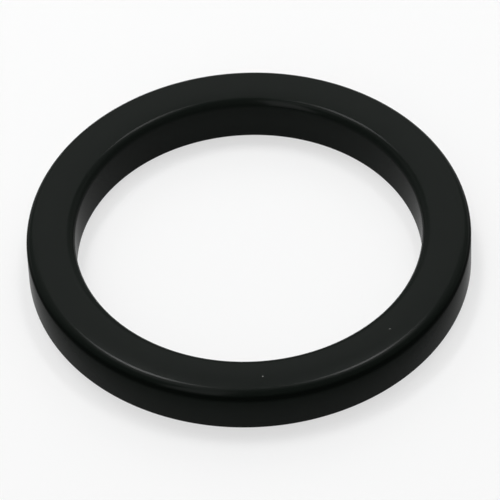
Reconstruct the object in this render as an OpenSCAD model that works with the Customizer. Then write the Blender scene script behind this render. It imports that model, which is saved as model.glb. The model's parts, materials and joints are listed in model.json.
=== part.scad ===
// Moulded rubber sealing ring for the brewing group of a coffee machine.
// The ring lies on its flat sealing face, with the rounded edges of the other face upward.
// The origin is the centre of the sealing face, and +Z is the axis of the ring.

/* [Ring] */
// Diameter of the outer wall
outer_d = 73; // [68:0.5:90]
// Diameter of the bore
bore_d = 57; // [40:0.5:59]
// Height from the sealing face to the upper face
height = 8; // [5:0.1:12]

/* [Edges] */
// Radius of the upper edge on the outer wall
upper_outer_edge_r = 1.6; // [0.4:0.1:2]
// Radius of the upper edge on the bore
upper_bore_edge_r = 1.5; // [0.4:0.1:2]
// Radius of the two edges of the sealing face
lower_edge_r = 0.2; // [0.1:0.1:1]

/* [Hidden] */

outer_r = outer_d / 2;
bore_r = bore_d / 2;
ring_w = outer_r - bore_r;

// How far a cut reaches past the surface it opens
cut_over = 1;
// Facets on a full turn of the ring, and on the circle of a rounded edge
ring_fn = 180;
edge_fn = 48;

rubber_black = [0.1, 0.1, 0.1];

// What rounding takes off a square corner at the origin whose material lies towards -X and -Y
module edge_relief(r) {
    difference() {
        translate([-r, -r]) square(r + cut_over);
        translate([-r, -r]) circle(r, $fn = edge_fn);
    }
}

// Half section of the ring, with the axis on X = 0
module ring_section() {
    difference() {
        translate([bore_r, 0]) square([ring_w, height]);
        translate([outer_r, height]) edge_relief(upper_outer_edge_r);
        translate([bore_r, height]) mirror([1, 0]) edge_relief(upper_bore_edge_r);
        translate([outer_r, 0]) mirror([0, 1]) edge_relief(lower_edge_r);
        translate([bore_r, 0]) rotate(180) edge_relief(lower_edge_r);
    }
}

// The whole gasket, moulded in one piece
module gasket_ring() {
    color(rubber_black) rotate_extrude($fn = ring_fn) ring_section();
}

gasket_ring();
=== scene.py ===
import json
import math

import bmesh
import bpy
from mathutils import Matrix, Vector


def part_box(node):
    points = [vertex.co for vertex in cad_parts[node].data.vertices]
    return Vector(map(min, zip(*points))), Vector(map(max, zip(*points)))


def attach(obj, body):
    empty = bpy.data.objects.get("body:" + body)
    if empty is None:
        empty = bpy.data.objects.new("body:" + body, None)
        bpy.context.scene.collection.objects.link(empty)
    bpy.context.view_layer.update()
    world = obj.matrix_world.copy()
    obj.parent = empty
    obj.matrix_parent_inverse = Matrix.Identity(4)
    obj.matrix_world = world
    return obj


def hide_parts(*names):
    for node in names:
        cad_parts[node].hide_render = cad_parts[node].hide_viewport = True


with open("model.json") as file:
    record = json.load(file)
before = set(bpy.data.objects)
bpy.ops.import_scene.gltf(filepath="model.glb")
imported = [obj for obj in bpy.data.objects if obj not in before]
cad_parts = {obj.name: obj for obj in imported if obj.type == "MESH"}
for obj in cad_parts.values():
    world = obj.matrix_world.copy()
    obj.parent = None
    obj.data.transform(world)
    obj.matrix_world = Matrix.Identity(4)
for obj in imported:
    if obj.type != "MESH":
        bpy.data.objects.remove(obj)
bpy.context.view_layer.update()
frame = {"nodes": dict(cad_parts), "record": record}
mm = 0.001
scene = bpy.context.scene
scene.view_settings.view_transform = "Standard"
print("frame loaded, nodes:", sorted(frame["nodes"]))


# small helpers for node trees

mixSockets = {"FLOAT": (2, 3, 0), "RGBA": (6, 7, 2)}    # both inputs of a Mix node, and its output


def freshTree(owner):
    owner.use_nodes = True
    owner.node_tree.nodes.clear()
    return owner.node_tree


def addNode(tree, kind, inputs=None, **settings):
    node = tree.nodes.new(kind)
    for name, value in settings.items():
        setattr(node, name, value)
    for name, value in (inputs or {}).items():
        socket = node.inputs[name]
        if isinstance(value, bpy.types.NodeSocket):
            tree.links.new(value, socket)
        else:
            socket.default_value = value
    return node


def mixOf(tree, kind, share, first, second):
    a, b, out = mixSockets[kind]
    node = addNode(tree, "ShaderNodeMix", {0: share, a: first, b: second}, data_type=kind)
    return node.outputs[out]


def rangeOf(tree, value, low, high, start=0.0, end=1.0, easing="LINEAR"):
    # carries a value from between low and high over to between start and end
    node = addNode(tree, "ShaderNodeMapRange", {
        "Value": value,
        "From Min": low,
        "From Max": high,
        "To Min": start,
        "To Max": end,
    }, interpolation_type=easing)
    return node.outputs["Result"]


def mathOf(tree, operation, first, second):
    node = addNode(tree, "ShaderNodeMath", {0: first, 1: second}, operation=operation)
    return node.outputs["Value"]


def vectorMath(tree, operation, *vectors):
    return addNode(tree, "ShaderNodeVectorMath", dict(enumerate(vectors)), operation=operation)


def grey(level):
    return (level, level, level, 1.0)


# camera: a long lens, a little rolled, looking down on the ring

shot = {
    "elevation": 47.35,
    "distance": 861.4 * mm,
    "aim": Vector((0.1, 0.0, 2.45)) * mm,
    "roll": 2.66,          # clockwise, so the ring seems to tip to the left
    "lens": 376.7,
    "sensor": 36.0,
}


def setCamera():
    e, r = math.radians(shot["elevation"]), math.radians(shot["roll"])
    back = Vector((0.0, -math.cos(e), math.sin(e)))
    levelUp = Vector((0.0, math.sin(e), math.cos(e)))
    levelRight = Vector((1.0, 0.0, 0.0))
    right = levelRight * math.cos(r) - levelUp * math.sin(r)
    up = levelRight * math.sin(r) + levelUp * math.cos(r)
    data = bpy.data.cameras.new("shotCamera")
    data.lens = shot["lens"]
    data.sensor_width = shot["sensor"]
    camera = bpy.data.objects.new("shotCamera", data)
    turn = Matrix((right, up, back)).transposed().to_4x4()
    camera.matrix_world = Matrix.Translation(shot["aim"] + back * shot["distance"]) @ turn
    scene.collection.objects.link(camera)
    scene.camera = camera


setCamera()
print("camera set at", [round(x, 3) for x in scene.camera.location])


# black rubber: nearly dull in itself, with a thin film of bloom that gives it a satin sheen,
# a very fine grain, a faint mottle, two grains of dust, and a painted line of shade along the top of the
# outer wall

rubber = {
    "deep": (0.0048, 0.0066, 0.0053, 1.0),
    "worn": (0.0061, 0.0083, 0.0068, 1.0),
    # painted shade: the darker tone of the line along the top of the outer wall
    "bare": (0.0031, 0.0042, 0.0034, 1.0),
    "shine": 0.003,               # specular level of the rubber itself
    "roughness": (0.20, 0.26),
    # weight of the film at distances out from the bore
    "film": [
        (0.14 * mm, 0.08),        # top of the bore
        (0.34 * mm, 0.21),        # lower half of its rounded edge
        (0.68 * mm, 0.2),
        (0.93 * mm, 0.08),        # crest of that edge, where the film is rubbed off
        (1.18 * mm, 0.08),
        (1.42 * mm, 0.154),       # upper face
        (5.7 * mm, 0.154),
        (6.7 * mm, 0.14),         # outer rounded edge
    ],
    "boreFoot": 1.9,              # how many times thicker it is at the foot of the bore
    "footFilm": 0.195,            # its weight at the foot of the outer wall
    "wallFilm": 0.02,             # and at the top, where that wall is rubbed
    "rubbedFrom": 0.45 * mm,      # depths inside the outer wall between which the wall's film takes over
    "rubbedTo": 0.14 * mm,
    "bareFrom": 0.6 * mm,         # depths below the outer rounded edge between which the film gives way to a painted line of shade, with a darker tone and no film
    "bareTo": -0.25 * mm,         # to a bare line
    "filmRoughness": 0.16,
    "mottle": {"Scale": 230.0, "Detail": 4.0, "Roughness": 0.6},    # patches of about 4 mm
    "haze": {"Scale": 60.0, "Detail": 2.0},       # slow patches of about 15 mm
    "hazeRange": (0.3, 0.7),      # part of the noise that is spread over the roughness
    "grain": {"Scale": 4200.0, "Detail": 2.0},    # grain of about 0.25 mm
    "grainDepth": 0.0016 * mm,
    "dust": (0.42, 0.42, 0.41, 1.0),
    "dustRoughness": 0.9,
    "dustRim": (1.1, 0.8),        # where a speck starts and is full, in its own half sizes
    # radius and azimuth of each speck on the upper face, its half length and half width, its lie
    "specks": [
        {"radius": 32.65 * mm, "azimuth": -87.9, "length": 0.11 * mm, "width": 0.09 * mm, "lie": 15.0},
        {"radius": 32.36 * mm, "azimuth": -47.2, "length": 0.15 * mm, "width": 0.034 * mm, "lie": 5.0},
    ],
}


def noiseOf(tree, place, noise):
    return addNode(tree, "ShaderNodeTexNoise", {"Vector": place, **noise}).outputs["Fac"]


def speckMask(tree, place, speck, height):
    a = math.radians(speck["azimuth"])
    spot = addNode(tree, "ShaderNodeMapping", {
        "Vector": place,
        "Location": (speck["radius"] * math.cos(a), speck["radius"] * math.sin(a), height),
        "Rotation": (0.0, 0.0, math.radians(speck["lie"])),
        "Scale": (speck["length"], speck["width"], speck["width"]),
    }, vector_type="TEXTURE")
    reach = vectorMath(tree, "LENGTH", spot.outputs["Vector"])
    return rangeOf(tree, reach.outputs["Value"], *rubber["dustRim"])


def filmAcross(tree, fromAxis, boreR, outerR):
    ramp = addNode(tree, "ShaderNodeValToRGB", {"Fac": rangeOf(tree, fromAxis, boreR, outerR)})
    stops = ramp.color_ramp.elements
    while len(stops) < len(rubber["film"]):
        stops.new(1.0)
    for stop, (out, weight) in zip(stops, rubber["film"]):
        stop.position = out / (outerR - boreR)
        stop.color = grey(weight)
    return ramp.outputs["Color"]


def blackRubber(height, boreR, outerR, outerTop):
    material = bpy.data.materials.new("blackRubber")
    tree = freshTree(material)
    place = addNode(tree, "ShaderNodeTexCoord").outputs["Object"]
    up = addNode(tree, "ShaderNodeSeparateXYZ", {"Vector": place}).outputs["Z"]
    level = vectorMath(tree, "MULTIPLY", place, (1.0, 1.0, 0.0))
    fromAxis = vectorMath(tree, "LENGTH", level.outputs["Vector"]).outputs["Value"]

    # where the outer wall takes over from the face, and the painted line of shade at its top
    onWall = rangeOf(tree, fromAxis, outerR - rubber["rubbedFrom"], outerR - rubber["rubbedTo"],
                     easing="SMOOTHSTEP")
    atTop = rangeOf(tree, up, outerTop - rubber["bareFrom"], outerTop - rubber["bareTo"],
                    easing="SMOOTHSTEP")
    bare = mathOf(tree, "MULTIPLY", onWall, atTop)

    dust = speckMask(tree, place, rubber["specks"][0], height)
    for speck in rubber["specks"][1:]:
        dust = mathOf(tree, "MAXIMUM", dust, speckMask(tree, place, speck, height))

    tone = mixOf(tree, "RGBA", noiseOf(tree, place, rubber["mottle"]), rubber["deep"], rubber["worn"])
    # painted shade: the tone darkens along the line at the top of the outer wall
    tone = mixOf(tree, "RGBA", bare, tone, rubber["bare"])
    colour = mixOf(tree, "RGBA", dust, tone, rubber["dust"])

    satin = rangeOf(tree, noiseOf(tree, place, rubber["haze"]), *rubber["hazeRange"], *rubber["roughness"])
    roughness = mixOf(tree, "FLOAT", dust, satin, rubber["dustRoughness"])

    inner = mathOf(tree, "MULTIPLY", filmAcross(tree, fromAxis, boreR, outerR),
                   rangeOf(tree, up, 0.0, outerTop, rubber["boreFoot"], 1.0))
    wall = rangeOf(tree, up, 0.0, outerTop, rubber["footFilm"], rubber["wallFilm"])
    film = mixOf(tree, "FLOAT", onWall, inner, wall)
    # painted shade: no film along that line
    film = mixOf(tree, "FLOAT", bare, film, 0.0)

    bump = addNode(tree, "ShaderNodeBump", {"Height": noiseOf(tree, place, rubber["grain"]),
                                            "Distance": rubber["grainDepth"]})
    shader = addNode(tree, "ShaderNodeBsdfPrincipled", {
        "Base Color": colour,
        "Roughness": roughness,
        "Specular IOR Level": rubber["shine"],
        "Coat Weight": film,
        "Coat Roughness": rubber["filmRoughness"],
        "Normal": bump.outputs["Normal"],
        "Coat Normal": bump.outputs["Normal"],
    })
    addNode(tree, "ShaderNodeOutputMaterial", {"Surface": shader.outputs["BSDF"]})
    return material


# the gasket: one moulded ring, turned from its section

ring = {
    "node": "gasket_ring",
    "slot": "black_rubber",
    "turnSteps": 504,      # faces round the ring, a multiple of 4 and of the map's sectors
    "upperSteps": 14,      # faces over a rounded upper edge
    "footSteps": 4,        # faces over a small lower edge
    "wallSteps": 6,
    "faceSteps": 12,
    "faceLean": 2.5,       # degrees by which the crowned upper face leans where it meets its edges
    "mapSide": 3,          # the map is 3 by 3 sectors of the ring
    "mapMargin": 0.02,
}


def mountNamed(name):
    return next(m for m in frame["record"]["mounts"] if m["name"] == name)


def wallOf(name):
    # radius of a wall, and the heights of its foot and its top
    mount = mountNamed(name)
    half = mount["dims"]["length_mm"] * mm / 2
    middle = mount["pos_m"][2]
    return mount["dims"]["r_mm"] * mm, middle - half, middle + half


def edgeArc(centreR, centreZ, radius, start, stop, steps):
    # points of a rounded edge, each with its normal
    points = []
    for i in range(steps + 1):
        t = math.radians(start + (stop - start) * i / steps)
        nr, nz = math.cos(t), math.sin(t)
        points.append((centreR + radius * nr, centreZ + radius * nz, nr, nz))
    return points


def straight(start, stop, steps):
    # points between two arcs, without the ends
    points = []
    for i in range(1, steps):
        t = i / steps
        r = start[0] + (stop[0] - start[0]) * t
        z = start[1] + (stop[1] - start[1]) * t
        points.append((r, z, start[2], start[3]))
    return points


def crowned(start, stop, rise, steps):
    # points of the upper face, which swells a little towards its middle
    points = []
    half = (start[0] - stop[0]) / 2
    middle = (start[0] + stop[0]) / 2
    for i in range(1, steps):
        s = 1 - 2 * i / steps
        lean = math.atan(2 * rise * s / half)
        points.append((middle + half * s, start[1] + rise * (1 - s * s), math.sin(lean), math.cos(lean)))
    return points


def ringSection():
    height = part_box(ring["node"])[1].z
    outerR, outerFoot, outerTop = wallOf("outer_wall")
    boreR, boreFoot, boreTop = wallOf("bore")
    outerEdge, boreEdge = height - outerTop, height - boreTop
    tilt, upperSteps, footSteps = ring["faceLean"], ring["upperSteps"], ring["footSteps"]
    lean = math.radians(tilt)
    halfFace = (outerR - boreR - (outerEdge + boreEdge) * (1 - math.sin(lean))) / 2
    rise = halfFace * math.tan(lean) / 2
    outerZ = height - rise - outerEdge * math.cos(lean)
    boreZ = height - rise - boreEdge * math.cos(lean)
    outerFootArc = edgeArc(outerR - outerFoot, outerFoot, outerFoot, -90, 0, footSteps)
    outerArc = edgeArc(outerR - outerEdge, outerZ, outerEdge, 0, 90 - tilt, upperSteps)
    boreArc = edgeArc(boreR + boreEdge, boreZ, boreEdge, 90 + tilt, 180, upperSteps)
    boreFootArc = edgeArc(boreR + boreFoot, boreFoot, boreFoot, 180, 270, footSteps)
    section = outerFootArc + straight(outerFootArc[-1], outerArc[0], ring["wallSteps"])
    section += outerArc + crowned(outerArc[-1], boreArc[0], rise, ring["faceSteps"])
    section += boreArc + straight(boreArc[-1], boreFootArc[0], ring["wallSteps"])
    section += boreFootArc + straight(boreFootArc[-1], outerFootArc[0], ring["faceSteps"])
    return section


def runOf(section):
    # length along the section up to each point, and all the way round
    run = [0.0]
    for i, point in enumerate(section):
        after = section[(i + 1) % len(section)]
        run.append(run[-1] + math.hypot(after[0] - point[0], after[1] - point[1]))
    return run


def mapPlace(step, faceStep, length, whole):
    # each ninth of the ring has its own square of the map
    side, margin = ring["mapSide"], ring["mapMargin"]
    perSector = ring["turnSteps"] // (side * side)
    sector = faceStep // perSector
    across = (step - sector * perSector) / perSector
    u = margin + (1 - 2 * margin) * across
    v = margin + (1 - 2 * margin) * length / whole
    return ((sector % side + u) / side, (sector // side + v) / side)


def turnRing():
    section = ringSection()
    run = runOf(section)
    turns, count = ring["turnSteps"], len(section)
    build = bmesh.new()
    uvLayer = build.loops.layers.uv.new("OFBake")
    rows, normals = [], []
    for j in range(turns):
        a = 2 * math.pi * j / turns
        c, s = math.cos(a), math.sin(a)
        rows.append([build.verts.new((r * c, r * s, z)) for r, z, nr, nz in section])
        normals += [(nr * c, nr * s, nz) for r, z, nr, nz in section]
    for j in range(turns):
        here, there = rows[j], rows[(j + 1) % turns]
        for k in range(count):
            n = (k + 1) % count
            face = build.faces.new((here[k], there[k], there[n], here[n]))
            face.smooth = True
            corners = ((j, k), (j + 1, k), (j + 1, k + 1), (j, k + 1))
            for loop, (step, point) in zip(face.loops, corners):
                loop[uvLayer].uv = mapPlace(step, j, run[point], run[-1])
    mesh = bpy.data.meshes.new("gasketRing")
    build.to_mesh(mesh)
    build.free()
    mesh.normals_split_custom_set_from_vertices(normals)
    gasket = bpy.data.objects.new("gasketRing", mesh)
    scene.collection.objects.link(gasket)
    return gasket


gasketRing = turnRing()
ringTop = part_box(ring["node"])[1].z
outerWall = wallOf("outer_wall")
gasketRing.data.materials.append(blackRubber(ringTop, wallOf("bore")[0], outerWall[0], outerWall[2]))
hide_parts(ring["node"])
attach(gasketRing, "root")
print("gasket turned,", len(gasketRing.data.polygons), "faces")


# pale floor, cut away under the ring so that its sealing face can be seen from below

floor = {
    "radius": 4.0,
    "sides": 192,
    "lap": 0.05 * mm,      # how far the floor reaches under the flat of the ring
    "colour": grey(0.88),
    "lift": 0.58,          # share of plain white that the camera and reflections see in it
}


def palePaper():
    material = bpy.data.materials.new("palePaper")
    tree = freshTree(material)
    paper = addNode(tree, "ShaderNodeBsdfDiffuse", {"Color": floor["colour"]})
    white = addNode(tree, "ShaderNodeEmission", {"Color": grey(1.0), "Strength": 1.0})
    path = addNode(tree, "ShaderNodeLightPath")
    seen = path.outputs["Is Camera Ray"]
    for ray in ("Is Glossy Ray", "Is Transmission Ray"):
        seen = mathOf(tree, "MAXIMUM", seen, path.outputs[ray])
    share = mathOf(tree, "MULTIPLY", seen, floor["lift"])
    blend = addNode(tree, "ShaderNodeMixShader", {0: share, 1: paper.outputs["BSDF"],
                                                  2: white.outputs["Emission"]})
    addNode(tree, "ShaderNodeOutputMaterial", {"Surface": blend.outputs["Shader"]})
    return material


def layFloor():
    outerR, outerFoot = wallOf("outer_wall")[:2]
    boreR, boreFoot = wallOf("bore")[:2]
    sides = floor["sides"]
    corners = []
    for radius in (boreR + boreFoot + floor["lap"], outerR - outerFoot - floor["lap"], floor["radius"]):
        for i in range(sides):
            a = 2 * math.pi * i / sides
            corners.append((radius * math.cos(a), radius * math.sin(a), 0.0))
    faces = [tuple(range(sides))]
    for i in range(sides):
        n = (i + 1) % sides
        faces.append((sides + i, 2 * sides + i, 2 * sides + n, sides + n))
    mesh = bpy.data.meshes.new("paleFloor")
    mesh.from_pydata(corners, [], faces)
    mesh.materials.append(palePaper())
    board = bpy.data.objects.new("paleFloor", mesh)
    scene.collection.objects.link(board)


layFloor()
print("floor laid")


# studio light: two small softboxes close above the ring, scrims and wide spill over them,
# a panel behind and an upright strip at the front left

lamps = {
    "leftBox": {"place": (-0.142, 0.336, 0.7), "size": (0.12, 0.295), "radiance": 16.0,
                "hung": "flat", "turn": -24},
    "leftScrim": {"place": (-0.491, 0.692, 1.82), "size": (0.655, 0.655), "radiance": 2.25,
                  "hung": "flat"},
    "leftSpill": {"place": (-0.662, 0.055, 1.84), "size": (0.994, 1.214), "radiance": 1.1,
                  "hung": "flat"},
    "rightBox": {"place": (0.13, 0.331, 0.7), "size": (0.105, 0.295), "radiance": 13.0,
                 "hung": "flat", "turn": 24},
    "rightScrim": {"place": (0.491, 0.692, 1.82), "size": (0.655, 0.655), "radiance": 2.0,
                   "hung": "flat"},
    "rightSpill": {"place": (0.736, 0.276, 1.84), "size": (0.957, 0.957), "radiance": 0.9,
                   "hung": "flat"},
    "backPanel": {"place": (0.0, 1.921, 1.44), "size": (2.77, 1.095), "radiance": 0.88,
                  "hung": "facing"},
    "frontStrip": {"place": (-0.485, -0.875, 1.7), "size": (0.48, 3.1), "radiance": 1.35,
                   "hung": "upright"},
}


def hangLamp(name, lamp):
    wide, tall = lamp["size"]
    flat = lamp["hung"] == "flat"
    data = bpy.data.lights.new(name, "AREA")
    data.shape = "ELLIPSE" if flat else "RECTANGLE"
    data.size, data.size_y = wide, tall
    area = wide * tall * (math.pi / 4 if flat else 1)
    data.energy = lamp["radiance"] * math.pi * area
    box = bpy.data.objects.new(name, data)
    box.location = lamp["place"]
    box.rotation_euler.z = math.radians(lamp.get("turn", 0))
    if not flat:           # a flat one faces down, the others face the ring
        away = Vector(lamp["place"])
        if lamp["hung"] == "upright":
            away.z = 0.0
        box.rotation_mode = "QUATERNION"
        box.rotation_quaternion = away.to_track_quat("Z", "Y")
    box.visible_camera = False
    scene.collection.objects.link(box)


for lampName, lampSpec in lamps.items():
    hangLamp(lampName, lampSpec)


# dim room round the table, with a soft glow at the back, pale at the horizon

room = {
    "dim": 0.13,
    "glow": 0.68,
    "glowElevation": 45.0,
    "glowStretch": (0.6, 1.0, 1.0),    # makes the glow wider than it is tall
    "glowFrom": 62.0,      # angles from the middle of the glow between which it rises
    "glowTo": 15.0,
    "horizon": 0.9,
    "horizonFrom": 2.0,    # elevations between which the horizon fades into the room
    "horizonTo": 7.0,
}


def setRoom():
    world = bpy.data.worlds.new("studioRoom")
    scene.world = world
    tree = freshTree(world)
    direction = addNode(tree, "ShaderNodeTexCoord").outputs["Generated"]
    up = addNode(tree, "ShaderNodeSeparateXYZ", {"Vector": direction}).outputs["Z"]

    e = math.radians(room["glowElevation"])
    wider = vectorMath(tree, "MULTIPLY", direction, room["glowStretch"])
    unit = vectorMath(tree, "NORMALIZE", wider.outputs["Vector"])
    toGlow = vectorMath(tree, "DOT_PRODUCT", unit.outputs["Vector"], (0.0, math.cos(e), math.sin(e)))
    glow = rangeOf(tree, toGlow.outputs["Value"], math.cos(math.radians(room["glowFrom"])),
                   math.cos(math.radians(room["glowTo"])), room["dim"], room["glow"], "SMOOTHSTEP")
    rise = rangeOf(tree, up, math.sin(math.radians(room["horizonFrom"])),
                   math.sin(math.radians(room["horizonTo"])), easing="SMOOTHSTEP")
    level = mixOf(tree, "FLOAT", rise, room["horizon"], glow)
    sky = addNode(tree, "ShaderNodeBackground", {"Color": grey(1.0), "Strength": level})
    addNode(tree, "ShaderNodeOutputWorld", {"Surface": sky.outputs["Background"]})


setRoom()
print("lamps hung and room set")
